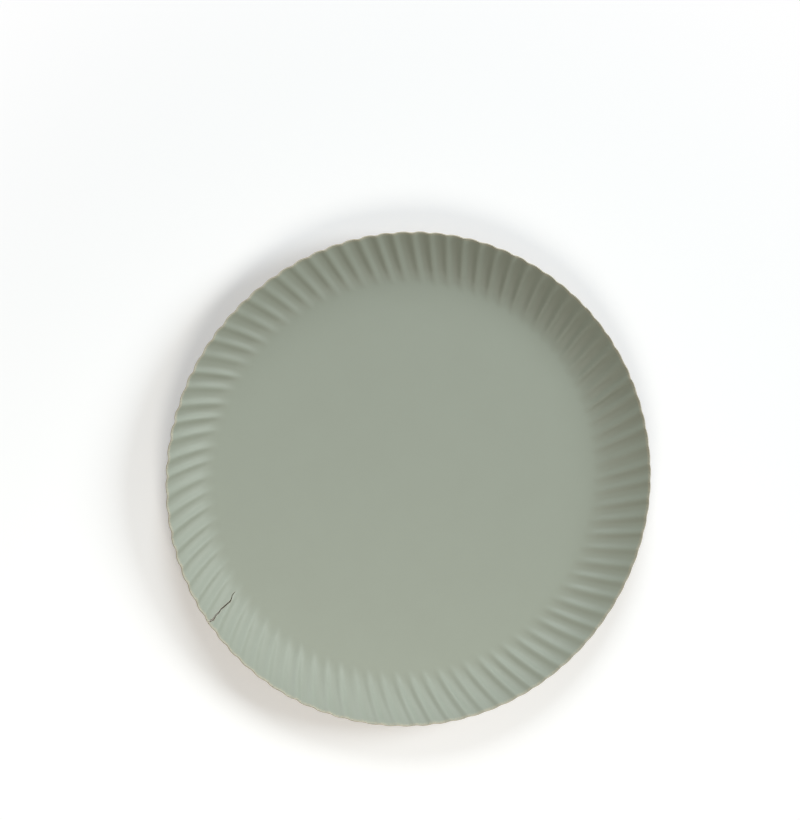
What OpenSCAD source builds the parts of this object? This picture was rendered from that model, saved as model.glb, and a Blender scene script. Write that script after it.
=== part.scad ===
// Round paper plate: one disc of board, pressed to a flat base and a fluted wall.
// Millimetres. The base lies on z = 0 and the axis is Z.

/* [Plate] */
// Diameter across the rim
plate_d = 280; // [260:2:300]
// Diameter of the flat base
base_d = 222; // [200:2:236]
// Height of the rim over the table, halfway up the flutes
plate_h = 17; // [12:0.5:22]
// Thickness of the board
board_t = 0.6; // [0.4:0.05:1]
// Radius of the bend from the base into the wall
bend_r = 20; // [12:1:30]
// Radius of the wall's own hollow curve, from the bend up to the rim
wall_r = 65; // [50:5:150]

/* [Flutes] */
// Number of flutes round the wall
flute_count = 86; // [60:1:100]
// Height of a flute at the rim, valley to crest
flute_h = 0.9; // [0.6:0.1:2]
// Distance that a crest stands inside the valleys at the rim
flute_in = 0.65; // [0:0.05:1.2]
// Distance from the base over which the flutes rise to their full height
flute_run = 19; // [10:1:22]
// Direction of the first crest from the axis where it leaves the base, in degrees
flute_start = 2.7; // [0:0.1:4]
// Turn of a flute round the axis on its way to the rim, in degrees
flute_swirl = 4.8; // [0:0.2:9]

/* [Tear] */
// Direction of the tear from the axis, in degrees
tear_angle = 214; // [0:1:359]
// Length of the tear, from the rim inwards
tear_len = 22.5; // [8:0.5:28]
// Width of the tear where it opens at the rim
tear_gap = 0.8; // [0.4:0.1:2]

/* [Hidden] */

// Points round one flute, and rings up the bend and up the wall
flute_steps = 6;
bend_steps = 2;
wall_steps = 2;
// Share of a second, doubled wave, which makes crests narrower than valleys
flute_sharp = 0.18;
// Length that the tear's cutter reaches past the board
cut_spare = 3;
// Turns of the torn line, as a share of its length from the rim and a sidestep
tear_turns = [[0, -0.3], [0.07, -0.1], [0.15, 0.6], [0.19, 0.5], [0.25, -0.1], [0.37, -0.1],
              [0.44, -0.6], [0.74, -0.6], [0.87, -2.5], [1, -3.2]];

rim_r = plate_d / 2;
base_r = base_d / 2;
wall_w = rim_r - base_r;
columns = flute_count * flute_steps;

// The bend is tighter and the wall's own curve wider than the one curve that would lead from the
// base to the rim, or than what would end upright where the wall is higher than wide
steep = plate_h > wall_w;
full_r = (wall_w * wall_w + plate_h * plate_h) / (2 * plate_h);
bend = min(bend_r, 0.92 * (steep ? wall_w : full_r));
upright_r = (wall_w * wall_w + plate_h * plate_h - 2 * plate_h * bend) / (2 * (wall_w - bend));
curve = max(wall_r, 1.05 * (steep ? upright_r : full_r));
// Slopes at which the bend passes into the wall's curve, and that curve ends at the rim
drop = bend - plate_h;
reach = norm([wall_w, drop]);
span = curve - bend;
foot_slope = asin((curve * curve - span * span - reach * reach) / (2 * span * reach))
    - atan2(drop, wall_w);
rim_slope = asin((wall_w + span * sin(foot_slope)) / curve);

// Stations of the board's middle line, from the base to the rim: radius, height and slope
stations = concat(
    [for (k = [0 : bend_steps])
        let (slope = foot_slope * k / bend_steps)
        [base_r + bend * sin(slope), bend * (1 - cos(slope)), slope]],
    [for (k = [1 : wall_steps])
        let (slope = foot_slope + (rim_slope - foot_slope) * k / wall_steps)
        [rim_r + curve * (sin(slope) - sin(rim_slope)),
         plate_h + curve * (cos(rim_slope) - cos(slope)), slope]]);

// Height of the wave at a turn of the flute, from -1 to 1 or so
function wave(turn) = cos(turn) + flute_sharp * cos(2 * turn);

// Share of its full height that a flute has at a radius
function growth(r) =
    let (left = 1 - min((r - base_r) / flute_run, 1))
    1 - left * sqrt(left);

// One point on a face of the board: side is 1 on the eating side and -1 below
function face_point(station, column, side) =
    let (rise = growth(station[0]) * wave(360 * column / flute_steps) / 2,
         lift = side * board_t / 2,
         r = station[0] - flute_in * rise - lift * sin(station[2]),
         z = station[1] + flute_h * rise + lift * cos(station[2]) + board_t / 2,
         turn = flute_start + 360 * column / columns + flute_swirl * (station[0] - base_r) / wall_w)
    [r * cos(turn), r * sin(turn), z];

// Number of a point in the board's list
function at(side, ring, column) =
    (side * len(stations) + ring) * columns + column % columns;

// The pressed board: both faces ring by ring, the flat base, and the cut edge
module pressed_board() {
    last = len(stations) - 1;
    points = [for (side = [-1, 1], station = stations, column = [0 : columns - 1])
        face_point(station, column, side)];
    below = [for (ring = [0 : last - 1], j = [0 : columns - 1])
        each [[at(0, ring, j), at(0, ring, j + 1), at(0, ring + 1, j)],
              [at(0, ring, j + 1), at(0, ring + 1, j + 1), at(0, ring + 1, j)]]];
    above = [for (ring = [0 : last - 1], j = [0 : columns - 1])
        each [[at(1, ring, j), at(1, ring + 1, j), at(1, ring, j + 1)],
              [at(1, ring, j + 1), at(1, ring + 1, j), at(1, ring + 1, j + 1)]]];
    edge = [for (j = [0 : columns - 1])
        each [[at(0, last, j), at(0, last, j + 1), at(1, last, j)],
              [at(1, last, j), at(0, last, j + 1), at(1, last, j + 1)]]];
    base = [[for (j = [0 : columns - 1]) at(0, 0, j)],
            [for (j = [columns - 1 : -1 : 0]) at(1, 0, j)]];
    polyhedron(points, concat(below, above, edge, base), convexity = 10);
}

// The torn line as a thin jagged wedge, open at the rim and closed at its inner end
module tear() {
    gap = [for (turn = tear_turns) tear_gap / 2 * (1 - pow(turn[0], 4))];
    lips = [for (side = [1, -1])
        [for (k = [0 : len(tear_turns) - 2])
            [-tear_turns[k][0] * tear_len, tear_turns[k][1] + side * gap[k]]]];
    tip = [-tear_len, tear_turns[len(tear_turns) - 1][1]];
    mouth = [for (side = [1, -1]) [cut_spare, tear_turns[0][1] + side * gap[0]]];
    rotate([0, 0, tear_angle]) translate([rim_r, 0, -cut_spare])
        linear_extrude(plate_h + flute_h + board_t + 2 * cut_spare)
            polygon(concat([mouth[0]], lips[0], [tip],
                [for (k = [len(lips[1]) - 1 : -1 : 0]) lips[1][k]], [mouth[1]]));
}

module plate() {
    color("#e6e7df") difference() {
        pressed_board();
        tear();
    }
}

plate();
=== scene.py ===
"""A round paper plate of coated board, pressed into a flat base and a fluted wall.

The board is one closed sheet, worked out on a grid that runs from the centre out to the rim and
once round the axis. The grid's seam lies on the tear in the rim, so that the torn lips are the two
ends of the grid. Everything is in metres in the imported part's own frame: the base stands on z = 0
and the axis is Z.
"""

from __future__ import annotations

import logging
import math
from dataclasses import dataclass, field
from enum import Enum, IntEnum
from functools import partial
from typing import Any

import bpy
import numpy as np
from mathutils import Matrix, Vector

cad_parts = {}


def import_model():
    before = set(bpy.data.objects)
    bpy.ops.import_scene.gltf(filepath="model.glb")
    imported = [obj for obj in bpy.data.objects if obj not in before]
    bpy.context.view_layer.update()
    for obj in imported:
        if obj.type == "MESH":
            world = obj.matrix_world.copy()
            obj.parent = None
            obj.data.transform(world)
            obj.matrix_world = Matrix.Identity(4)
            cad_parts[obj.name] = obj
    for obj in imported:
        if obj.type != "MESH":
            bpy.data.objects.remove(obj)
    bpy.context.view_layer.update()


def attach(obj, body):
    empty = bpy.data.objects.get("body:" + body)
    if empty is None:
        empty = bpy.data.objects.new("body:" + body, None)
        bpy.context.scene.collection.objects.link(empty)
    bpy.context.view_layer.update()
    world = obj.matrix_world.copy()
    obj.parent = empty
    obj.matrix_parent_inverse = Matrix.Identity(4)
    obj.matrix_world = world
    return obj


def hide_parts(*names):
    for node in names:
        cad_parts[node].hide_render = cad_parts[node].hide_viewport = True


LOG = logging.getLogger("paper_plate")
NODE = "plate"
BODY = "root"
MM = 0.001
# Edges of the mesh that turn by more than this stay sharp
SHARP_ANGLE = math.radians(48)
# Distance from the tear that stands for "nowhere near it"
FAR = 1.0
# Length along the wall for each metre of its height, over the metres of its radius
ALONG_PER_RISE = 0.6

Colour = tuple[float, float, float, float]
Band = tuple[float, float]
Shares = tuple[float, ...]

WHITE: Colour = (1.0, 1.0, 1.0, 1.0)


class Skin(IntEnum):
    """The board's visible surfaces, in the order of their material slots."""

    FACE = 0
    BACK = 1
    EDGE = 2


class Lip(Enum):
    """The two lips of the tear, by the column of the grid that each one is."""

    FIRST = 0
    LAST = -1


class Side(Enum):
    """The two faces of the board, by their place in its thickness."""

    EATING = 1.0
    UNDER = 0.0

    @property
    def skin(self) -> Skin:
        """The face's own skin."""
        return Skin.FACE if self is Side.EATING else Skin.BACK


@dataclass
class PlateSizes:
    """Driving sizes of the pressed plate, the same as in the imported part."""

    base_r: float = 111 * MM
    wall_w: float = 29 * MM
    height: float = 17 * MM
    board_t: float = 0.6 * MM
    bend_r: float = 20 * MM
    wall_r: float = 65 * MM
    flute_count: int = 86
    flute_h: float = 0.9 * MM
    flute_in: float = 0.65 * MM
    flute_run: float = 19 * MM
    flute_start: float = math.radians(2.7)
    flute_swirl: float = math.radians(4.8)
    flute_sharp: float = 0.18

    @property
    def rim_r(self) -> float:
        """Radius of the rim, halfway up the flutes."""
        return self.base_r + self.wall_w

    @property
    def foot_slope(self) -> float:
        """Slope at which the bend passes into the wall's own curve, so that it ends at the rim.

        Formula: the rim lies on the circle of the wall's curve, whose middle lies on the line from
        the bend's middle through the point where the two meet. The law of cosines gives the angle.
        """
        drop = self.bend_r - self.height
        span = self.wall_r - self.bend_r
        reach = math.hypot(self.wall_w, drop)
        share = (self.wall_r**2 - span**2 - reach**2) / (2 * span * reach)
        return math.asin(share) - math.atan2(drop, self.wall_w)


@dataclass
class TearSizes:
    """The torn line in the rim: its direction, its length, its opening and its turns.

    The lips part by the whole gap on the eating side and by a small share of it on the underside,
    where the fibres hold on. The bite is a crumb that has come out, and the jags are small drawn
    turns of the line, which runs straight again at some length past its tip. Each turn is a share
    of the length from the rim, and a sidestep in millimetres.
    """

    angle: float = math.radians(214)
    length: float = 22.5 * MM
    gap: float = 0.8 * MM
    gap_below: float = 0.12
    bite: float = 0.8
    bite_at: float = 0.14
    bite_reach: float = 0.06
    lift: float = 0.5 * MM
    lift_power: float = 1.5
    straight_after: float = 8 * MM
    slide_reach: float = 7 * MM
    open_reach: float = 9 * MM
    taper: float = 7
    fray: float = 0.09 * MM
    fray_draws: tuple[int, int, int] = (2, 4, 400)
    jag: float = 0.16 * MM
    jag_draws: int = 60
    turns: tuple[tuple[float, float], ...] = (
        (0, -0.3), (0.07, -0.1), (0.15, 0.6), (0.19, 0.5), (0.25, -0.1), (0.37, -0.1),
        (0.44, -0.6), (0.74, -0.6), (0.87, -2.5), (1, -3.2),
    )


@dataclass
class GridSizes:
    """How finely the sheet is divided.

    The fine rows begin at a share of the base's radius, and the inner ones of them lie inside the
    tear's tip. The coarse rows and columns fill the base inside them.
    """

    per_flute: int = 14
    fine_from: float = 0.955
    fine_rows: int = 36
    inner_rows: int = 10
    coarse_rows: int = 12
    coarse_step: int = 7
    edge_rows: int = 3


@dataclass
class HandMade:
    """Small departures from the perfect form, as a press and handling leave them.

    Waves round the circle are given as the fewest that are drawn, the number that they stay below
    and how many are drawn. The crushed fibre of the cut edge is a fine wave, whose phase sways to
    and fro by the sway.
    """

    seed: int = 11
    edge_bulge: float = 0.06 * MM
    edge_crush: float = 0.025 * MM
    crush_waves: int = 467
    crush_sways: int = 211
    crush_sway: float = 3
    flute_rise: float = 2.4
    flute_spread: float = 0.12
    flute_waves: tuple[int, int, int] = (7, 61, 18)
    phase_spread: float = 0.025
    phase_waves: tuple[int, int, int] = (3, 37, 12)
    phase_drift: float = 0.1
    rim_wander: float = 0.35 * MM
    rim_waves: tuple[int, int, int] = (2, 9, 5)
    base_lift: float = 0.35 * MM
    base_waves: int = 9
    base_lengths: tuple[float, float] = (90 * MM, 260 * MM)
    base_fade: float = 2.2


@dataclass
class PlateForm:
    """The shape of the sheet, as functions of the radius and the turn round the axis."""

    sizes: PlateSizes = field(default_factory=PlateSizes)
    tear: TearSizes = field(default_factory=TearSizes)
    hand: HandMade = field(default_factory=HandMade)

    def __post_init__(self) -> None:
        """Draws the small departures once, so that each run gives the same plate."""
        hand = self.hand
        rng = np.random.default_rng(hand.seed)
        self.height_terms = self._round_terms(rng, *hand.flute_waves)
        self.phase_terms = self._round_terms(rng, *hand.phase_waves)
        self.rim_terms = self._round_terms(rng, *hand.rim_waves)
        self.base_way = rng.uniform(0, 2 * math.pi, hand.base_waves)
        self.base_len = rng.uniform(*hand.base_lengths, hand.base_waves)
        self.base_phase = rng.uniform(0, 2 * math.pi, hand.base_waves)
        self.fray_draw = rng.uniform(-1, 1, self.tear.fray_draws)
        self.jag_draw = rng.uniform(-1, 1, self.tear.jag_draws)

    @staticmethod
    def _round_terms(rng: np.random.Generator, low: int, high: int, count: int) -> np.ndarray:
        """Draws whole numbers of waves round the circle, with their phases.

        Args:
            rng: the seeded source of the draws.
            low: the fewest waves round the circle.
            high: the number that the waves stay below.
            count: how many waves are drawn.

        Returns:
            An array of count rows, each a number of waves and a phase.
        """
        waves = rng.integers(low, high, count).astype(float)
        return np.stack([waves, rng.uniform(0, 2 * math.pi, count)], axis=1)

    @staticmethod
    def _round_sum(terms: np.ndarray, turn: np.ndarray) -> np.ndarray:
        """Sum of cosines round the circle, scaled to a spread of about one.

        Formula: the sum over the terms of cos(waves * turn + phase), over the square root of half
        their count.
        """
        total = np.zeros_like(turn)
        for waves, phase in terms:
            total += np.cos(waves * turn + phase)
        return total / math.sqrt(len(terms) / 2)

    def profile(self, r: np.ndarray) -> np.ndarray:
        """Height of the board's middle over the base's, without its flutes.

        Formula: flat to the base's edge, then a circular bend whose slope's sine is the distance
        past that edge over the bend's radius, then the wall, whose slope's sine grows on with the
        distance over the wall's own, larger radius.

        Args:
            r: radii in metres.

        Returns:
            The heights in metres.
        """
        s = self.sizes
        past = np.clip(r - s.base_r, 0, None)
        in_bend = np.clip(past, 0, s.bend_r * math.sin(s.foot_slope))
        bend = np.arcsin(in_bend / s.bend_r)
        slope = np.arcsin(np.sin(bend) + (past - in_bend) / s.wall_r)
        return s.bend_r * (1 - np.cos(bend)) + s.wall_r * (np.cos(bend) - np.cos(slope))

    def growth(self, r: np.ndarray) -> np.ndarray:
        """Share of its full height that a flute has at a radius, with a rounded inner end.

        Formula: one, less the part of the flutes' run that is left, to the power of their rise.
        """
        s = self.sizes
        rest = 1 - np.clip((r - s.base_r) / s.flute_run, 0, 1)
        return 1 - rest**self.hand.flute_rise

    def flute_turn(self, r: np.ndarray, turn: np.ndarray) -> np.ndarray:
        """Turn of a point from the first crest, taken back along the flutes to the base's edge.

        Formula: the point's own turn, less the first crest's, less the swirl times the share of
        the wall that is inside the point.
        """
        s = self.sizes
        return turn - s.flute_start - s.flute_swirl * (r - s.base_r) / s.wall_w

    def wave(self, r: np.ndarray, turn: np.ndarray) -> np.ndarray:
        """Height of the flutes' wave, from about -1 in a valley to 1 on a crest.

        Formula: cos(a) + sharp * cos(2a), where a is the flute's turn times the number of flutes,
        moved by a small draw and by a drift that comes and goes once round the plate. The result is
        scaled by 1 plus a second small draw.
        """
        s = self.sizes
        root = self.flute_turn(r, turn)
        moved = self.hand.phase_spread * self._round_sum(self.phase_terms, root)
        a = s.flute_count * root + 2 * math.pi * (moved - self.hand.phase_drift * np.cos(root))
        scale = 1 + self.hand.flute_spread * self._round_sum(self.height_terms, root)
        return scale * (np.cos(a) + s.flute_sharp * np.cos(2 * a))

    def unevenness(self, r: np.ndarray, turn: np.ndarray) -> np.ndarray:
        """Lift of the sheet where it isn't quite flat or level.

        Formula: on the base, half of one plus the sum of long sine waves over the square root of
        their number, where that isn't negative, fading to nothing at the base's edge. On the wall,
        a few waves round the circle, up and down, that grow with the square of the share of the
        wall.
        """
        s, hand = self.sizes, self.hand
        x, y = r * np.cos(turn), r * np.sin(turn)
        total = np.zeros_like(x)
        for way, length, phase in zip(self.base_way, self.base_len, self.base_phase):
            along = x * math.cos(way) + y * math.sin(way)
            total += np.sin(2 * math.pi * along / length + phase)
        inside = np.clip((s.base_r - r) / s.base_r, 0, 1)
        fade = 1 - (1 - np.clip(inside * hand.base_fade, 0, 1)) ** 2
        base = hand.base_lift * fade * (0.5 + 0.5 * total / math.sqrt(hand.base_waves))
        share = np.clip((r - s.base_r) / s.wall_w, 0, 1)
        wall = hand.rim_wander * share**2 * self._round_sum(self.rim_terms, turn)
        return np.clip(base, 0, None) + wall

    def torn_shift(self, r: np.ndarray, turn: np.ndarray,
                   ply: float) -> tuple[np.ndarray, np.ndarray, np.ndarray]:
        """How the grid follows the torn line, and how the lips part.

        Formula: with d the distance round the circle from the tear, signed by its side, the grid
        slides by the torn line's sidestep, with small drawn jags, times exp(-(d / reach)^2). The
        sheet moves away from the line by half the gap, times one less the share of the tear's
        length to the taper's power, times exp(-|d| / reach), and one lip rises while the other
        sinks. Near the mouth a crumb has come out: there the gap is wider by the bite, times
        exp(-((share - place) / reach)^2).

        Args:
            r: radii of the grid.
            turn: turns of the grid from the tear, 0 to one full turn.
            ply: place in the board's thickness, 0 on the underside and 1 on the eating side.

        Returns:
            The slide of the grid on the sheet and the move of the sheet, both round the circle in
            metres, and the lift.
        """
        s, t = self.sizes, self.tear
        share = np.clip((s.rim_r - r) / t.length, 0, 1)
        places = np.array([p[0] for p in t.turns])
        steps = np.array([p[1] for p in t.turns]) * MM
        jags = np.interp(share, np.linspace(0, 1, len(self.jag_draw)), self.jag_draw)
        sidestep = np.interp(share, places, steps) + t.jag * jags * np.sqrt(1 - share)
        inside = np.clip((s.rim_r - r - t.length) / t.straight_after, 0, 1)
        sidestep = sidestep * (1 - inside) ** 2
        side = np.where(turn < math.pi, 1.0, -1.0)
        d = np.where(turn < math.pi, turn, turn - 2 * math.pi) * r
        slide = sidestep * np.exp(-((d / t.slide_reach) ** 2))
        parted = t.gap_below + (1 - t.gap_below) * ply
        crumb = 1 + t.bite * np.exp(-(((share - t.bite_at) / t.bite_reach) ** 2))
        opening = 0.5 * t.gap * parted * crumb * (1 - share**t.taper)
        near_lip = np.exp(-np.abs(d) / t.open_reach)
        lift = side * 0.5 * t.lift * (1 - share) ** t.lift_power * near_lip
        return slide, side * opening * near_lip, lift

    def middle(self, r: np.ndarray, turn: np.ndarray,
               ply: float = 0.5) -> tuple[np.ndarray, np.ndarray]:
        """Points of the board's middle layer.

        Formula: the profile's point at that radius, raised by half the flutes' height times the
        wave and drawn in by half their inset times the wave, turned to its place round the axis.

        Args:
            r: radii of the grid, in any shape.
            turn: turns from the tear, in the same shape.
            ply: place in the thickness, which only changes how far the torn lips part.

        Returns:
            The points, with x, y and z on the last axis, and the share of a crest, -1 to 1.
        """
        s = self.sizes
        slide, move, lift = self.torn_shift(r, turn, ply)
        safe = np.maximum(r, MM)
        on_sheet = turn + self.tear.angle + slide / safe
        place = on_sheet + move / safe
        wave = self.growth(r) * self.wave(r, on_sheet)
        z = self.profile(r) + 0.5 * s.flute_h * wave + self.unevenness(r, on_sheet) + lift
        out = r - 0.5 * s.flute_in * wave
        points = np.stack([out * np.cos(place), out * np.sin(place), z], axis=-1)
        return points, wave

    def press_place(self, r: np.ndarray, turn: np.ndarray) -> np.ndarray:
        """Where a point lay on a cylinder of the flutes, for grain that runs along them.

        Formula: the flute's own turn laid round a circle of the base's radius, and about the
        distance along the profile as the height. It has no seam, because it closes on itself.
        """
        s = self.sizes
        root = self.flute_turn(np.maximum(r, s.base_r), turn + self.tear.angle)
        along = r + self.profile(r) * ALONG_PER_RISE
        return np.stack([s.base_r * np.cos(root), s.base_r * np.sin(root), along], axis=-1)


class SheetMesh:
    """Collects grids of points and their faces, and makes one mesh of them."""

    def __init__(self) -> None:
        """Starts with no points and no faces."""
        self.points: list[np.ndarray] = []
        self.marks: dict[str, list[np.ndarray]] = {
            name: [] for name in ("ply", "crest", "rim", "lip", "press")}
        self.faces: dict[int, list[np.ndarray]] = {4: [], 3: []}
        self.skins: dict[int, list[np.ndarray]] = {4: [], 3: []}
        self.count = 0

    def add_points(self, points: np.ndarray, **marks: np.ndarray | float) -> np.ndarray:
        """Adds points of any grid shape.

        Args:
            points: the points, with x, y and z on the last axis.
            marks: for each mark its value at each point, or one value for all.

        Returns:
            The numbers of the points, in the grid's shape.
        """
        shape = points.shape[:-1]
        size = int(np.prod(shape))
        self.points.append(points.reshape(size, 3))
        for name, store in self.marks.items():
            parts = (3,) if name == "press" else ()
            value = np.broadcast_to(np.asarray(marks[name], float), shape + parts)
            store.append(value.reshape((size, *parts)))
        numbers = np.arange(self.count, self.count + size).reshape(shape)
        self.count += size
        return numbers

    def add_faces(self, skin: Skin, over: bool, *corners: np.ndarray) -> None:
        """Adds one face for each place in three or four like arrays of point numbers.

        Args:
            skin: the faces' skin.
            over: whether the faces are turned over, with their corners the other way round.
            corners: for each corner its point numbers.
        """
        order = corners[:1] + corners[:0:-1] if over else corners
        faces = np.stack([np.ravel(corner) for corner in order], axis=1)
        self.faces[len(order)].append(faces)
        self.skins[len(order)].append(np.full(len(faces), int(skin)))

    def build(self, name: str) -> bpy.types.Object:
        """Makes the mesh object, with its marks as attributes and its skins as material numbers."""
        points = np.concatenate(self.points)
        faces = {size: np.concatenate(parts) for size, parts in self.faces.items()}
        corners = np.concatenate([part.ravel() for part in faces.values()])
        sizes = np.concatenate([np.full(len(part), size) for size, part in faces.items()])
        starts = np.concatenate([[0], np.cumsum(sizes)[:-1]])
        skins = np.concatenate([skin for parts in self.skins.values() for skin in parts])
        mesh = bpy.data.meshes.new(name)
        mesh.vertices.add(len(points))
        mesh.vertices.foreach_set("co", points.astype(np.float32).ravel())
        mesh.loops.add(len(corners))
        mesh.loops.foreach_set("vertex_index", corners.astype(np.int32))
        mesh.polygons.add(len(sizes))
        mesh.polygons.foreach_set("loop_start", starts.astype(np.int32))
        mesh.polygons.foreach_set("material_index", skins.astype(np.int32))
        for mark, store in self.marks.items():
            kind, key = ("FLOAT_VECTOR", "vector") if mark == "press" else ("FLOAT", "value")
            layer = mesh.attributes.new(mark, kind, "POINT")
            layer.data.foreach_set(key, np.concatenate(store).astype(np.float32).ravel())
        mesh.update(calc_edges=True)
        mesh.validate()
        mesh.shade_smooth()
        mesh.set_sharp_from_angle(angle=SHARP_ANGLE)
        piece = bpy.data.objects.new(name, mesh)
        bpy.context.scene.collection.objects.link(piece)
        return piece


@dataclass
class Plate:
    """The whole pressed sheet: both faces, the cut rim and the torn lips, as one closed mesh."""

    form: PlateForm = field(default_factory=PlateForm)
    grid: GridSizes = field(default_factory=GridSizes)

    def build(self) -> bpy.types.Object:
        """Builds the sheet.

        Returns:
            The mesh object, in place in the part's frame.
        """
        sheet = SheetMesh()
        rows = self._fine_rows()
        columns = self.form.sizes.flute_count * self.grid.per_flute
        r, t = np.meshgrid(rows, np.linspace(0, 2 * math.pi, columns + 1), indexing="ij")
        numbers = {side: self._face(sheet, side, r, t) for side in Side}
        stack = self._rim_edge(sheet, r, t, numbers)
        for lip in Lip:
            self._torn_lip(sheet, lip, rows, t, numbers, stack)
        return sheet.build("pressed_plate")

    def _fine_rows(self) -> np.ndarray:
        """Radii of the fine rows, a little closer together from the tear's tip outwards."""
        s, g = self.form.sizes, self.grid
        tip = s.rim_r - self.form.tear.length
        inner = np.linspace(s.base_r * g.fine_from, tip, g.inner_rows, endpoint=False)
        outer = np.linspace(tip, s.rim_r, g.fine_rows - g.inner_rows)
        return np.concatenate([inner, outer])

    @staticmethod
    def _normals(middle: np.ndarray) -> np.ndarray:
        """Unit normals of a grid of points, from the cross product of its two directions."""
        out = np.gradient(middle, axis=0)
        around = np.gradient(middle, axis=1)
        normal = np.cross(out, around)
        return normal / np.linalg.norm(normal, axis=-1, keepdims=True)

    def _layer(self, r: np.ndarray, t: np.ndarray, ply: float) -> tuple[np.ndarray, np.ndarray]:
        """One layer of the board.

        Formula: the middle layer's points, moved along their normals by the share of the thickness
        from the middle, and raised by half the thickness so that the underside lies on z = 0.

        Args:
            r: radii of the grid.
            t: turns of the grid.
            ply: place in the thickness, 0 on the underside and 1 on the eating side.

        Returns:
            The layer's points and the wave's height at each.
        """
        board = self.form.sizes.board_t
        middle, crest = self.form.middle(r, t, ply)
        normal = self._normals(middle)
        return middle + normal * (ply - 0.5) * board + np.array([0, 0, board / 2]), crest

    def _face(self, sheet: SheetMesh, side: Side, r: np.ndarray, t: np.ndarray) -> np.ndarray:
        """Adds one face of the board, fine from near the base's edge outwards and coarse inside.

        Args:
            sheet: the mesh that the face goes into.
            side: which face it is.
            r: radii of the fine grid.
            t: turns of the fine grid.

        Returns:
            The point numbers of the fine grid, where the seam's two columns are one point inside
            the tear's tip.
        """
        points, crest = self._layer(r, t, side.value)
        fine = sheet.add_points(points, ply=side.value, crest=crest, rim=self.form.sizes.rim_r - r,
                                lip=self._lip_distance(r, t), press=self.form.press_place(r, t))
        closed = slice(0, self.grid.inner_rows + 1)
        fine[closed, -1] = fine[closed, 0]
        sheet.add_faces(side.skin, side is Side.UNDER,
                        fine[:-1, :-1], fine[1:, :-1], fine[1:, 1:], fine[:-1, 1:])
        self._base(sheet, side, fine[0, :-1], r[0, 0])
        return fine

    def _base(self, sheet: SheetMesh, side: Side, ring: np.ndarray, ring_r: float) -> None:
        """Adds the flat base inside the fine grid, with one column for several fine ones.

        Args:
            sheet: the mesh that the base goes into.
            side: which face of the board it is.
            ring: point numbers of the innermost fine row, once round.
            ring_r: that row's radius.
        """
        g, s = self.grid, self.form.sizes
        step = g.coarse_step
        coarse = len(ring) // step
        rows = np.linspace(ring_r / (g.coarse_rows + 1), ring_r, g.coarse_rows + 1)[:-1]
        r, t = np.meshgrid(rows, np.arange(coarse) * 2 * math.pi / coarse, indexing="ij")
        middle, crest = self.form.middle(r, t)
        lift = np.array([0, 0, side.value * s.board_t])
        numbers = sheet.add_points(middle + lift, ply=side.value, crest=crest, rim=s.rim_r - r,
                                   lip=FAR, press=self.form.press_place(r, t))
        pole_mid, _ = self.form.middle(np.zeros(1), np.zeros(1))
        pole = sheet.add_points(pole_mid + lift, ply=side.value, crest=0, rim=s.rim_r, lip=FAR,
                                press=np.zeros(3))
        add = partial(sheet.add_faces, side.skin, side is Side.UNDER)
        after = np.roll(numbers, -1, axis=1)
        add(numbers[:-1], numbers[1:], after[1:], after[:-1])
        add(np.broadcast_to(pole, numbers[0].shape), numbers[0], after[0])
        half = step // 2
        outer = np.append(ring, ring[0])
        corner = np.arange(coarse) * step
        for k in range(step):
            add(numbers[-1] if k <= half else after[-1], outer[corner + k], outer[corner + k + 1])
        add(outer[corner + half + 1], after[-1], numbers[-1])

    def _lip_distance(self, r: np.ndarray, t: np.ndarray) -> np.ndarray:
        """Distance from the torn line: round the circle, and past the line's inner end."""
        s, tear = self.form.sizes, self.form.tear
        near = np.where(t < math.pi, t, 2 * math.pi - t)
        past = np.clip(s.rim_r - tear.length - r, 0, None)
        return np.hypot(near * r, past)

    def _rim_edge(self, sheet: SheetMesh, r: np.ndarray, t: np.ndarray,
                  numbers: dict[Side, np.ndarray]) -> np.ndarray:
        """Adds the cut edge of the rim, slightly rounded by the cutting die.

        Formula: between the two faces the edge stands out along the wall by a parabola of the
        place in the thickness, and by a small wave that stands for crushed fibre.

        Args:
            sheet: the mesh that the edge goes into.
            r: radii of the fine grid.
            t: turns of the fine grid.
            numbers: the point numbers of both faces.

        Returns:
            The edge's point numbers, from the underside's row up to the eating side's.
        """
        hand = self.form.hand
        last, turn = r[-2:], t[-2:]
        sway = hand.crush_sway * np.cos(t[-1] * hand.crush_sways)
        rows = [numbers[Side.UNDER][-1][None]]
        for ply in self._inner_plies():
            points, _ = self._layer(last, turn, ply)
            out = points[1] - points[0]
            out /= np.linalg.norm(out, axis=-1, keepdims=True)
            bulge = hand.edge_bulge * (1 - (2 * ply - 1) ** 2)
            crush = hand.edge_crush * np.sin(t[-1] * hand.crush_waves * (1 + ply) + sway)
            place = points[1] + out * (bulge + crush)[:, None]
            rows.append(sheet.add_points(place[None], ply=ply, crest=0, rim=0, lip=FAR,
                                         press=self.form.press_place(last[1:], turn[1:])))
        rows.append(numbers[Side.EATING][-1][None])
        stack = np.concatenate(rows)
        sheet.add_faces(Skin.EDGE, False,
                        stack[:-1, :-1], stack[:-1, 1:], stack[1:, 1:], stack[1:, :-1])
        return stack

    def _inner_plies(self) -> np.ndarray:
        """Places of the rows inside the thickness, on the cut edge and the torn lips."""
        return np.linspace(0, 1, self.grid.edge_rows + 1)[1:-1]

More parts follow.
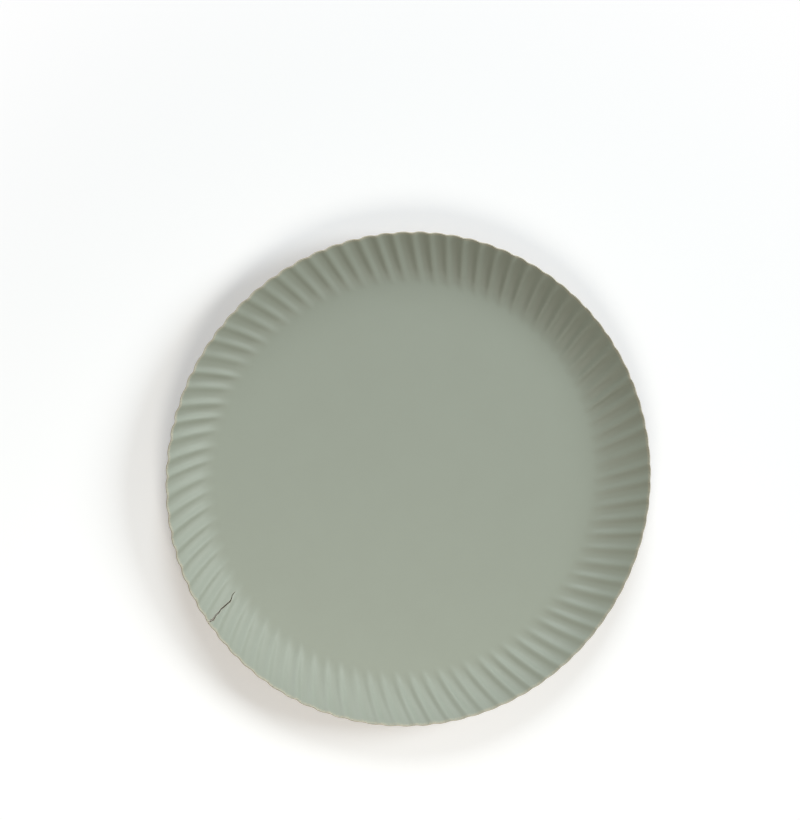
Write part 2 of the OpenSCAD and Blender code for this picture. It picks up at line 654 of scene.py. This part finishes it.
    def _torn_lip(self, sheet: SheetMesh, lip: Lip, rows: np.ndarray, t: np.ndarray,
                  numbers: dict[Side, np.ndarray], stack: np.ndarray) -> None:
        """Adds one torn lip between the faces, frayed where fibres were pulled out.

        Formula: each inner row of a lip stands off its line by a drawn length, so that the lip's
        section is ragged and differs from row to row. A small fan closes the lip at its inner end.

        Args:
            sheet: the mesh that the lip goes into.
            lip: which end of the grid it is.
            rows: radii of the fine rows.
            t: turns of the fine grid.
            numbers: the point numbers of both faces.
            stack: the rim edge's point numbers.
        """
        tip = self.grid.inner_rows
        line = slice(tip + 1, len(rows) - 1)
        near = slice(0, 3) if lip is Lip.FIRST else slice(-3, None)
        r, turn = np.meshgrid(rows, t[0, near], indexing="ij")
        draws = self.form.fray_draw[lip.value]
        body = [numbers[Side.UNDER][line, lip.value]]
        for k, ply in enumerate(self._inner_plies()):
            points, _ = self._layer(r, turn, ply)
            sideways = np.gradient(points, axis=1)[line, lip.value]
            sideways /= np.linalg.norm(sideways, axis=-1, keepdims=True)
            fray = self.form.tear.fray * draws[k, : len(sideways), None]
            place = points[line, lip.value] + sideways * fray
            rim = self.form.sizes.rim_r - rows[line]
            body.append(sheet.add_points(place, ply=ply, crest=0, rim=rim, lip=0, press=place))
        body.append(numbers[Side.EATING][line, lip.value])
        whole = np.concatenate([np.stack(body), stack[:, lip.value][:, None]], axis=1)
        under, above = (numbers[side][tip, lip.value] for side in (Side.UNDER, Side.EATING))
        add = partial(sheet.add_faces, Skin.EDGE, lip is Lip.LAST)
        add(whole[1:, :-1], whole[:-1, :-1], whole[:-1, 1:], whole[1:, 1:])
        low, high = whole[:-1, 0], whole[1:, 0]
        add(low, high, np.full(low.shape, under))
        add(high[-1:], above, under)


def srgb(red: float, green: float, blue: float) -> Colour:
    """Turns a colour written as 0 to 255 in sRGB into the linear colour that shaders take.

    Formula: sRGB's own curve, a straight line near black and a power of 2.4 above it.
    """
    channel = [c / 255 for c in (red, green, blue)]
    linear = [c / 12.92 if c <= 0.04045 else ((c + 0.055) / 1.055) ** 2.4 for c in channel]
    return (linear[0], linear[1], linear[2], 1.0)


class Wire:
    """A shader socket that takes part in Python expressions, which add Math nodes."""

    def __init__(self, graph: Graph, socket: bpy.types.NodeSocket) -> None:
        """Keeps the graph that new nodes go into and the socket that gives the value."""
        self.graph = graph
        self.socket = socket

    def _math(self, operation: str, first: Any, second: Any) -> Wire:
        """Adds a Math node on two values or links."""
        node = self.graph.node("ShaderNodeMath", {"operation": operation}, {0: first, 1: second})
        return Wire(self.graph, node.outputs[0])

    def __add__(self, other: Wire | float) -> Wire:
        """This plus the other."""
        return self._math("ADD", self, other)

    def __radd__(self, other: float) -> Wire:
        """The other plus this."""
        return self._math("ADD", other, self)

    def __sub__(self, other: Wire | float) -> Wire:
        """This less the other."""
        return self._math("SUBTRACT", self, other)

    def __rsub__(self, other: float) -> Wire:
        """The other less this."""
        return self._math("SUBTRACT", other, self)

    def __mul__(self, other: Wire | float) -> Wire:
        """This times the other."""
        return self._math("MULTIPLY", self, other)

    def __rmul__(self, other: float) -> Wire:
        """The other times this."""
        return self._math("MULTIPLY", other, self)

    def ramp(self, low: float, high: float) -> Wire:
        """Smooth step from 0 at low to 1 at high, or the other way round where low is higher."""
        settings = {"interpolation_type": "SMOOTHSTEP", "clamp": True}
        inputs = {"Value": self, "From Min": low, "From Max": high, "To Min": 0.0, "To Max": 1.0}
        return Wire(self.graph, self.graph.node("ShaderNodeMapRange", settings, inputs).outputs[0])


@dataclass(frozen=True)
class Grain:
    """One noise: the width of its largest lumps in metres, its detail, roughness and distortion."""

    size: float
    detail: float = 2.0
    rough: float = 0.5
    bend: float = 0.0


def blend(shares: Shares, *parts: Wire) -> Wire:
    """Sum of several values, each times its share."""
    first, *rest = (part * share for part, share in zip(parts, shares))
    return sum(rest, first)


class Graph:
    """The node tree of one material or of the world."""

    def __init__(self, owner: bpy.types.Material | bpy.types.World, output: str) -> None:
        """Empties the owner's tree and adds its output node."""
        owner.use_nodes = True
        self.owner = owner
        self.tree = owner.node_tree
        self.tree.nodes.clear()
        self.output = self.tree.nodes.new(output)

    @classmethod
    def of_material(cls, name: str) -> Graph:
        """The empty tree of a new material."""
        return cls(bpy.data.materials.new(name), "ShaderNodeOutputMaterial")

    def end(self, shader: bpy.types.Node) -> Any:
        """Links a shader to the output and returns the tree's owner."""
        self.tree.links.new(shader.outputs[0], self.output.inputs["Surface"])
        return self.owner

    def node(self, kind: str, settings: dict[str, Any],
             inputs: dict[str | int, Any]) -> bpy.types.Node:
        """Adds a node.

        Args:
            kind: the node's type.
            settings: its properties, which are set first.
            inputs: for each socket, by identifier, name or number, a value or a link.

        Returns:
            The node.
        """
        node = self.tree.nodes.new(kind)
        for key, value in settings.items():
            setattr(node, key, value)
        for key, value in inputs.items():
            socket = self._input(node, key)
            if isinstance(value, Wire):
                self.tree.links.new(value.socket, socket)
            elif isinstance(value, bpy.types.NodeSocket):
                self.tree.links.new(value, socket)
            else:
                socket.default_value = value
        return node

    @staticmethod
    def _input(node: bpy.types.Node, key: str | int) -> bpy.types.NodeSocket:
        """Finds an input by its number, its identifier or its name."""
        if isinstance(key, int):
            return node.inputs[key]
        by_identifier = [socket for socket in node.inputs if socket.identifier == key]
        return by_identifier[0] if by_identifier else node.inputs[key]

    def place(self, scale: tuple[float, float, float] = (1, 1, 1)) -> Wire:
        """Object coordinates, each multiplied by its scale."""
        source = self.node("ShaderNodeTexCoord", {}, {}).outputs["Object"]
        return self.scaled(Wire(self, source), scale)

    def mark(self, name: str, part: str = "Fac") -> Wire:
        """A value that the mesh holds at each point, or a vector where the part is "Vector"."""
        settings = {"attribute_name": name, "attribute_type": "GEOMETRY"}
        return Wire(self, self.node("ShaderNodeAttribute", settings, {}).outputs[part])

    def scaled(self, vector: Wire, scale: tuple[float, float, float]) -> Wire:
        """A vector with each part multiplied by its scale."""
        node = self.node("ShaderNodeVectorMath", {"operation": "MULTIPLY"}, {0: vector, 1: scale})
        return Wire(self, node.outputs[0])

    def length(self, vector: Wire) -> Wire:
        """Length of a vector."""
        node = self.node("ShaderNodeVectorMath", {"operation": "LENGTH"}, {0: vector})
        return Wire(self, node.outputs["Value"])

    def noise(self, vector: Wire, grain: Grain) -> Wire:
        """Smooth noise of about 0 to 1."""
        inputs = {"Vector": vector, "Scale": 1 / grain.size, "Detail": grain.detail,
                  "Roughness": grain.rough, "Distortion": grain.bend}
        return Wire(self, self.node("ShaderNodeTexNoise", {}, inputs).outputs[0])

    def mixed(self, factor: Wire | float, first: Any, second: Any) -> Wire:
        """A colour between two colours."""
        settings = {"data_type": "RGBA", "clamp_factor": True}
        inputs = {"Factor_Float": factor, "A_Color": first, "B_Color": second}
        node = self.node("ShaderNodeMix", settings, inputs)
        return Wire(self, [out for out in node.outputs if out.identifier == "Result_Color"][0])

    def bump(self, height: Wire, depth: float) -> Wire:
        """Normal for a height of 0 to 1 that stands for a depth in metres."""
        node = self.node("ShaderNodeBump", {}, {"Height": height, "Distance": depth, "Strength": 1.0})
        return Wire(self, node.outputs[0])

    def surface(self, colour: Wire, roughness: Wire | float, normal: Wire) -> bpy.types.Material:
        """Ends the tree in a Principled shader and returns the material."""
        inputs = {"Base Color": colour, "Roughness": roughness, "Normal": normal}
        return self.end(self.node("ShaderNodeBsdfPrincipled", {}, inputs))


@dataclass(frozen=True)
class CoatedFace:
    """The coated eating side: a pale grey-green, faintly cloudy, with a soft satin sheen.

    Each band gives the places where an effect begins and where it is full, and each set of shares
    says how much of each part goes into the tone, the roughness or the height.
    """

    lit: Colour = srgb(162, 169, 155)
    dull: Colour = srgb(155, 160, 146)
    worn: Colour = srgb(190, 183, 162)
    cloud: Grain = Grain(22 * MM, 3, 0.55)
    grain: Grain = Grain(0.9 * MM, 5, 0.62)
    streak: Grain = Grain(1.6 * MM, 4, 0.6)
    chip: Grain = Grain(0.7 * MM, 3, 0.7)
    tooth: Grain = Grain(0.25 * MM)
    streak_stretch: float = 0.05
    wall_band: Band = (32 * MM, 24 * MM)
    worn_band: Band = (1.5 * MM, 0.3 * MM)
    lip_band: Band = (0.7 * MM, 0.15 * MM)
    tear_band: Band = (25 * MM, 23 * MM)
    chip_band: Band = (0.36, 0.6)
    lip_wear: float = 0.3
    tone_shares: Shares = (0.5, 0.35, 0.25, 0.3)
    tone_start: float = 0.15
    gloss: float = 0.46
    rough_shares: Shares = (0.1, 0.08, 0.3)
    height_shares: Shares = (0.5, 0.9, 0.18)
    depth: float = 0.03 * MM

    def material(self) -> bpy.types.Material:
        """Builds the finish.

        Formula: the colour goes from lit to dull with long clouds, with fine grain, with streaks
        that run along the flutes, and a little in the valleys. Within about a millimetre of the rim
        it is worn paler in places, and less so at the torn lips. Grain and streaks raise the
        surface.
        """
        g = Graph.of_material("coated_face")
        place = g.place()
        along = g.scaled(g.mark("press", "Vector"), (1, 1, self.streak_stretch))
        on_wall = g.mark("rim").ramp(*self.wall_band)
        cloud, grain = g.noise(place, self.cloud), g.noise(place, self.grain)
        streak = g.noise(along, self.streak) * on_wall
        valley = (0.5 - 0.5 * g.mark("crest")) * on_wall
        tone = blend(self.tone_shares, cloud, grain, valley, streak) - self.tone_start
        colour = g.mixed(tone, self.lit, self.dull)
        close = g.mark("rim").ramp(*self.worn_band)
        torn = g.mark("lip").ramp(*self.lip_band) * g.mark("rim").ramp(*self.tear_band)
        bare = (close + torn * self.lip_wear) * g.noise(place, self.chip).ramp(*self.chip_band)
        colour = g.mixed(bare, colour, self.worn)
        rough = self.gloss + blend(self.rough_shares, cloud, grain, bare)
        height = blend(self.height_shares, grain, streak, g.noise(place, self.tooth))
        return g.surface(colour, rough, g.bump(height, self.depth))


@dataclass(frozen=True)
class PlainBack:
    """The uncoated underside: brown recycled board with long fibres and dark and pale specks."""

    body: Colour = srgb(170, 145, 114)
    pale: Colour = srgb(190, 168, 138)
    dark: Colour = srgb(128, 100, 72)
    cloud: Grain = Grain(9 * MM, 4, 0.6)
    fibre: Grain = Grain(0.72 * MM, 4, 0.6, 0.8)
    speck: Grain = Grain(0.8 * MM, 3, 0.7, 1.5)
    tooth: Grain = Grain(0.3 * MM, 3, 0.6)
    fibre_stretch: float = 0.16
    speck_stretch: float = 0.35
    tone_shares: Shares = (0.6, 0.5, 0.5)
    tone_start: float = 0.35
    tone_band: Band = (0.2, 0.8)
    speck_band: Band = (0.64, 0.74)
    speck_strength: float = 0.7
    rough: float = 0.82
    rough_share: float = 0.1
    height_shares: Shares = (0.5, 0.5, 0.4)
    depth: float = 0.05 * MM

    def material(self) -> bpy.types.Material:
        """Builds the finish.

        Formula: clouds and two sets of stretched noise, crossed, mix body and pale, and the
        strongest parts of a fine noise become scattered dark fibres.
        """
        g = Graph.of_material("plain_back")
        place = g.place()
        cloud = g.noise(place, self.cloud)
        one_way = g.noise(g.place((1.0, self.fibre_stretch, 1.0)), self.fibre)
        other_way = g.noise(g.place((self.fibre_stretch, 1.0, 1.0)), self.fibre)
        tone = blend(self.tone_shares, cloud, one_way, other_way) - self.tone_start
        colour = g.mixed(tone.ramp(*self.tone_band), self.body, self.pale)
        specks = g.noise(g.place((1.0, self.speck_stretch, 1.0)), self.speck)
        colour = g.mixed(specks.ramp(*self.speck_band) * self.speck_strength, colour, self.dark)
        height = blend(self.height_shares, one_way, other_way, g.noise(place, self.tooth))
        return g.surface(colour, self.rough + self.rough_share * cloud, g.bump(height, self.depth))


@dataclass(frozen=True)
class CutEdge:
    """The cut rim and the torn lips: a pale coat over pale brown plies of fibre, with painted shade
    in the crack.
    """

    coat: Colour = srgb(206, 204, 186)
    core: Colour = srgb(200, 184, 156)
    shade: Colour = srgb(168, 146, 118)
    # Painted shade: the dark colour of the crack's inner faces, standing in for the shade deep in the
    # crack
    painted_crack_shade: Colour = srgb(52, 50, 38)
    fine: Grain = Grain(0.35 * MM, 4, 0.65)
    ply: Grain = Grain(0.12 * MM, 3, 0.6)
    ply_stretch: float = 0.12
    ply_shares: Shares = (0.7, 0.3)
    ply_band: Band = (0.35, 0.65)
    waver: float = 0.22
    coat_from: float = 0.5
    torn_coat_from: float = 0.9
    coat_band: Band = (-0.06, 0.06)
    torn_band: Band = (0.3 * MM, 0.0)
    torn_ply: float = 0.35
    rough: float = 0.88
    rough_share: float = 0.05
    height_shares: Shares = (0.6, 0.4)
    depth: float = 0.06 * MM

    def material(self) -> bpy.types.Material:
        """Builds the finish.

        Formula: the place in the thickness, moved a little by noise, shows the coat on top and
        plies below, which come and go with noise that is drawn out along the board. In the tear the
        coat is thinner, and the plies are darkened by painted shade that stands for the depth of the
        crack.
        """
        g = Graph.of_material("cut_edge")
        place = g.place()
        torn = g.mark("lip").ramp(*self.torn_band)
        fine = g.noise(place, self.fine)
        bands = g.noise(g.scaled(place, (self.ply_stretch, self.ply_stretch, 1.0)), self.ply)
        plies = blend(self.ply_shares, bands, fine).ramp(*self.ply_band)
        cut_colour = g.mixed(plies, self.shade, self.core)
        # Painted shade: on the torn lips the plies are darkened towards the crack's shade colour
        torn_painted_shade = g.mixed(plies * self.torn_ply, self.painted_crack_shade, self.shade)
        start = self.coat_from + (self.torn_coat_from - self.coat_from) * torn
        coated = (g.mark("ply") + self.waver * (fine - 0.5) - start).ramp(*self.coat_band)
        colour = g.mixed(coated, g.mixed(torn, cut_colour, torn_painted_shade), self.coat)
        height = blend(self.height_shares, fine, bands)
        return g.surface(colour, self.rough + self.rough_share * fine, g.bump(height, self.depth))


@dataclass(frozen=True)
class WhiteFloor:
    """The floor: plain white where the light reaches it, with the object's shadow kept."""

    bounce: float = 0.6
    seen: float = 0.92
    glow: float = 0.18
    near: float = 0.2
    far: float = 0.38

    def material(self) -> bpy.types.Material:
        """Builds the finish.

        Formula: on rays from the camera, from gloss and through glass the floor's diffuse colour is
        bright enough to come out white, with a small glow in its shadows, and from near to far
        from the plate's axis it turns into an even white glow. On all other rays it is plain pale
        board.
        """
        g = Graph.of_material("white_floor")
        path = g.node("ShaderNodeLightPath", {}, {})
        looked_at = Wire(g, path.outputs["Is Camera Ray"]) + Wire(g, path.outputs["Is Glossy Ray"])
        looked_at = looked_at + Wire(g, path.outputs["Is Transmission Ray"])
        plain, bright = ((level, level, level, 1.0) for level in (self.bounce, self.seen))
        matt = g.node("ShaderNodeBsdfDiffuse", {}, {"Color": g.mixed(looked_at, plain, bright)})
        shine = g.node("ShaderNodeEmission", {}, {"Strength": looked_at * self.glow})
        both = g.node("ShaderNodeAddShader", {}, {0: matt.outputs[0], 1: shine.outputs[0]})
        white = g.node("ShaderNodeEmission", {}, {"Strength": 1.0})
        away = g.length(g.place()).ramp(self.near, self.far) * looked_at
        shaders = {0: away, 1: both.outputs[0], 2: white.outputs[0]}
        return g.end(g.node("ShaderNodeMixShader", {}, shaders))


@dataclass(frozen=True)
class Lamp:
    """A soft round lamp that looks at the plate.

    Its turn round the plate's axis, its height over the floor as an angle and its distance say
    where it hangs. At a level of 1 it lights a surface that faces it so that its colour renders as
    it is written.
    """

    name: str
    turn: float
    height: float
    distance: float
    size: float
    level: float
    colour: tuple[float, float, float] = (0.905, 0.962, 1.0)

    def hang(self) -> None:
        """Hangs the lamp in its place.

        Formula: the power is the level times pi^2 times the distance squared, because the disc
        spreads it over pi, and a matt surface sends back its light over pi again.
        """
        flat = math.cos(self.height) * self.distance
        place = Vector((flat * math.cos(self.turn), flat * math.sin(self.turn),
                        math.sin(self.height) * self.distance))
        lamp = bpy.data.lights.new(self.name, "AREA")
        lamp.shape = "DISK"
        lamp.size = self.size
        lamp.color = self.colour
        lamp.energy = self.level * math.pi**2 * self.distance**2
        holder = bpy.data.objects.new(self.name, lamp)
        towards_plate = place.to_track_quat("Z", "Y").to_matrix().to_4x4()
        holder.matrix_world = Matrix.Translation(place) @ towards_plate
        bpy.context.scene.collection.objects.link(holder)


LAMPS = (
    Lamp("key", turn=math.radians(15), height=math.radians(31), distance=4.0, size=2.0, level=0.56),
    Lamp("side", turn=math.radians(94), height=math.radians(29), distance=4.0, size=2.0, level=0.6),
    Lamp("fill", turn=math.radians(257), height=math.radians(52), distance=0.66, size=0.35,
         level=0.37, colour=(1.0, 0.955, 0.87)),
)


@dataclass
class Studio:
    """Floor, light and camera of the photographed view.

    The frame and the middle of the rim's outline are in pixels, from the image's top left.
    """

    frame_w: int = 800
    frame_h: int = 820
    rim_x: float = 408.2
    rim_y: float = 478.3
    pixels_per_m: float = 1769.5
    tilt: float = math.radians(13.7)
    lean: float = math.radians(23.3)
    distance: float = 1.3
    sensor: float = 36.0
    clip_end: float = 50.0
    floor_half: float = 5.0
    floor_drop: float = 0.05 * MM
    lamps: tuple[Lamp, ...] = LAMPS
    sky_level: float = 0.16
    sky_colour: Colour = (1.0, 0.965, 0.89, 1.0)

    def build(self, rim_r: float, rim_height: float) -> None:
        """Makes the floor, the light and the camera.

        Args:
            rim_r: the rim's radius, which the view is set by.
            rim_height: the height of the rim's plane.
        """
        self._floor()
        self._sky()
        for lamp in self.lamps:
            lamp.hang()
        self._camera(rim_r, rim_height)

    def _floor(self) -> None:
        """Lays a wide floor just under the plate."""
        half, low = self.floor_half, -self.floor_drop
        outline = [(-half, -half, low), (half, -half, low), (half, half, low), (-half, half, low)]
        mesh = bpy.data.meshes.new("floor")
        mesh.from_pydata(outline, [], [(0, 1, 2, 3)])
        mesh.materials.append(WhiteFloor().material())
        floor = bpy.data.objects.new("floor", mesh)
        bpy.context.scene.collection.objects.link(floor)

    def _sky(self) -> None:
        """Lights the scene evenly from all round, and shows white where nothing is."""
        world = bpy.data.worlds.new("sky")
        bpy.context.scene.world = world
        g = Graph(world, "ShaderNodeOutputWorld")
        seen = Wire(g, g.node("ShaderNodeLightPath", {}, {}).outputs["Is Camera Ray"])
        level = self.sky_level + (1 - self.sky_level) * seen
        tint = g.mixed(seen, self.sky_colour, WHITE)
        g.end(g.node("ShaderNodeBackground", {}, {"Color": tint, "Strength": level}))

    def _camera(self, rim_r: float, rim_height: float) -> None:
        """Places the camera so that the rim's outline falls where the photograph has it.

        Formula: the plate's axis leans away from the line of sight by the tilt, towards the image's
        right and down by the lean. The outline's middle lies nearer to the camera than the rim's
        own middle, by the rim's radius squared times sin(tilt) cos(tilt) over the distance. The
        camera stands on the line of sight and is turned until the rim's middle is at its pixel.

        Args:
            rim_r: the rim's radius.
            rim_height: the height of the rim's plane.
        """
        ahead = Vector((math.cos(self.lean), -math.sin(self.lean), 0))
        aside = Vector((-math.sin(self.lean), -math.cos(self.lean), 0))
        up = Vector((0, 0, 1))
        along = ahead * math.cos(self.tilt) + up * math.sin(self.tilt)
        towards = up * math.cos(self.tilt) - ahead * math.sin(self.tilt)
        right = along * math.cos(self.lean) - aside * math.sin(self.lean)
        top = -along * math.sin(self.lean) - aside * math.cos(self.lean)
        focal = self.pixels_per_m * self.distance
        nearer = rim_r**2 * math.sin(self.tilt) * math.cos(self.tilt) / self.distance
        offset = nearer * self.pixels_per_m
        middle_x = self.rim_x + offset * math.cos(self.lean)
        middle_y = self.rim_y + offset * math.sin(self.lean)
        sight = Vector((middle_x - self.frame_w / 2, self.frame_h / 2 - middle_y, -focal))
        aim = sight.rotation_difference(Vector((0, 0, -1)))
        data = bpy.data.cameras.new("view")
        data.sensor_width = self.sensor
        data.lens = self.sensor * focal / max(self.frame_w, self.frame_h)
        data.clip_end = self.clip_end
        camera = bpy.data.objects.new("view", data)
        place = Vector((0, 0, rim_height)) + towards * self.distance
        turn = Matrix((right, top, towards)).transposed() @ aim.to_matrix()
        camera.matrix_world = Matrix.Translation(place) @ turn.to_4x4()
        bpy.context.scene.collection.objects.link(camera)
        bpy.context.scene.camera = camera


def corners(box: Any) -> list[list[float]]:
    """A box's two corners as plain lists of numbers."""
    return [[float(x) for x in corner] for corner in box]


def main() -> None:
    """Loads the frame, builds and dresses the plate, and sets up the view."""
    logging.basicConfig(level=logging.INFO, format="%(name)s: %(message)s")
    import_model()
    plate = Plate()
    piece = plate.build()
    for finish in (CoatedFace(), PlainBack(), CutEdge()):
        piece.data.materials.append(finish.material())
    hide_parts(NODE)
    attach(piece, BODY)
    triangles = sum(len(face.vertices) - 2 for face in piece.data.polygons)
    LOG.info("%s: %d triangles", piece.name, triangles)
    sizes = plate.form.sizes
    Studio().build(sizes.rim_r, sizes.height + sizes.board_t / 2)
    bpy.context.scene.view_settings.view_transform = "Standard"


if __name__ == "__main__":
    main()
